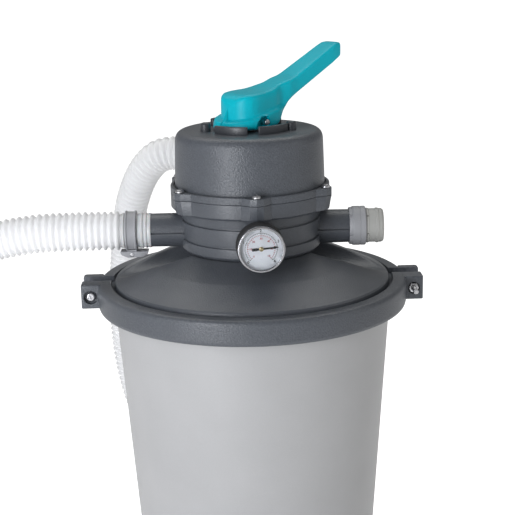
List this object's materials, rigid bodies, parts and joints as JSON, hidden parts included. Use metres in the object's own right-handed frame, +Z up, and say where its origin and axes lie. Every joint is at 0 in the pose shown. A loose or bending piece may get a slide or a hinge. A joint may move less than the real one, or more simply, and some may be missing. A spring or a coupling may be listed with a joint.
{
  "type": "sand filter tank",
  "caption": "Family pool sand filter: tapered grey tank with clamped dome lid, six-way top-mount valve with push-down lever, pressure gauge and two corrugated hoses.",
  "frame": {"origin": "floor under the tank's axis", "axes": "+Z up, +X from the tank's axis to the waste port, -Y to the pressure gauge"},
  "size_m": [0.7698, 0.7816, 0.762],
  "materials": {
    "slate_plastic": "fine pebbled moulding",
    "shell_plastic": "smooth satin moulding",
    "teal_plastic": "satin gloss",
    "hose_white": "translucent corrugated",
    "clip_plastic": "satin",
    "cap_plastic": "satin",
    "white_plastic": "satin",
    "seal_rubber": "moulded",
    "zinc_steel": "zinc plated",
    "gauge_chrome": "polished",
    "gauge_brass": "turned",
    "gauge_glass": "clear",
    "gauge_face": "printed",
    "pointer_black": "painted"
  },
  "bodies": {
    "root": {"tank_base": "slate_plastic", "tank": "shell_plastic", "standpipe": "white_plastic", "collector_hub": "slate_plastic", "lateral_1": "white_plastic", "lateral_2": "white_plastic", "lateral_3": "white_plastic", "lateral_4": "white_plastic", "lateral_5": "white_plastic", "lateral_6": "white_plastic", "clamp_front": "slate_plastic", "clamp_rear": "slate_plastic", "clamp_bolt_left": "zinc_steel", "clamp_bolt_right": "zinc_steel", "clamp_nut_left": "zinc_steel", "clamp_nut_right": "zinc_steel", "dome": "slate_plastic", "tank_o_ring": "seal_rubber", "valve_body": "slate_plastic", "spider_gasket": "seal_rubber", "stem_o_ring": "seal_rubber", "cover_o_ring": "seal_rubber", "valve_spring": "zinc_steel", "water_diffuser": "white_plastic", "valve_cover": "slate_plastic", "cover_screw_1": "zinc_steel", "cover_screw_2": "zinc_steel", "cover_screw_3": "zinc_steel", "cover_screw_4": "zinc_steel", "cover_screw_5": "zinc_steel", "cover_screw_6": "zinc_steel", "gauge_stem": "gauge_brass", "gauge_case": "slate_plastic", "gauge_bezel": "gauge_chrome", "gauge_lens": "gauge_glass", "gauge_dial": "gauge_face", "return_hose": "hose_white", "return_hose_cuff": "hose_white", "return_hose_end_clamp": "clip_plastic", "return_hose_mouth": "hose_white", "return_hose_clamp_band": "clip_plastic", "pump_hose": "hose_white", "pump_hose_cuff": "hose_white", "pump_hose_end_clamp": "clip_plastic", "pump_hose_mouth": "hose_white", "pump_hose_clamp_band": "clip_plastic"},
    "selector": {"slip_washer": "zinc_steel"},
    "rotor": {"rotor": "white_plastic", "handle_pin": "zinc_steel"},
    "lever": {"handle": "teal_plastic"},
    "pointer": {"gauge_pointer": "pointer_black"},
    "drain_seal": {"drain_o_ring": "seal_rubber"},
    "drain_cap": {"drain_cap": "slate_plastic"},
    "waste_plug": {"waste_cap": "cap_plastic", "waste_gasket": "seal_rubber"},
    "waste_nut": {"waste_nut": "clip_plastic"},
    "return_clamp_screw": {"return_hose_clamp_screw": "zinc_steel"},
    "pump_clamp_screw": {"pump_hose_clamp_screw": "zinc_steel"}
  },
  "joints": [
    {"name": "selector_turn", "type": "hinge", "parent": "root", "child": "selector", "pos_m": [0, 0, 0.6738], "axis": [0, 0, 1], "continuous": true},
    {"name": "stem_lift", "type": "slide", "parent": "selector", "child": "rotor", "axis": [0, 0, 1], "range_m": [0, 0.008], "stiffness_N_per_m": 2500, "springref_m": -0.004, "deforming": ["valve_spring"]},
    {"name": "handle_press", "type": "hinge", "parent": "rotor", "child": "lever", "pos_m": [0, 0, 0.684], "axis": [-0.6428, 0.766, 0], "range_deg": [0, 26]},
    {"name": "pointer_turn", "type": "hinge", "parent": "root", "child": "pointer", "pos_m": [0.01081, -0.12353, 0.562], "axis": [-0.0872, 0.9962, 0], "range_deg": [0, 270], "stiffness_Nm_per_rad": 0.0005},
    {"name": "drain_cap_slide", "type": "slide", "parent": "root", "child": "drain_seal", "axis": [1, 0, 0], "range_m": [0, 0.0121]},
    {"name": "drain_cap_turn", "type": "hinge", "parent": "drain_seal", "child": "drain_cap", "pos_m": [0.158, 0, 0.062], "axis": [1, 0, 0], "range_deg": [0, 1080]},
    {"name": "waste_cap_slide", "type": "slide", "parent": "root", "child": "waste_plug", "axis": [1, 0, 0], "range_m": [0, 0.0121]},
    {"name": "waste_nut_turn", "type": "hinge", "parent": "waste_plug", "child": "waste_nut", "pos_m": [0.126, 0, 0.558], "axis": [1, 0, 0], "range_deg": [0, 1440]},
    {"name": "return_clamp_turn", "type": "hinge", "parent": "root", "child": "return_clamp_screw", "pos_m": [-0.138, 0, 0.531], "axis": [0, 1, 0], "continuous": true},
    {"name": "pump_clamp_turn", "type": "hinge", "parent": "root", "child": "pump_clamp_screw", "pos_m": [0, 0.138, 0.531], "axis": [1, 0, 0], "continuous": true}
  ],
  "couplings": [
    {"joint": "stem_lift", "follows": "handle_press", "m_per_rad": 0.017629},
    {"joint": "drain_cap_slide", "follows": "drain_cap_turn", "m_per_rad": 0.00063662},
    {"joint": "waste_cap_slide", "follows": "waste_nut_turn", "m_per_rad": 0.00047746}
  ]
}
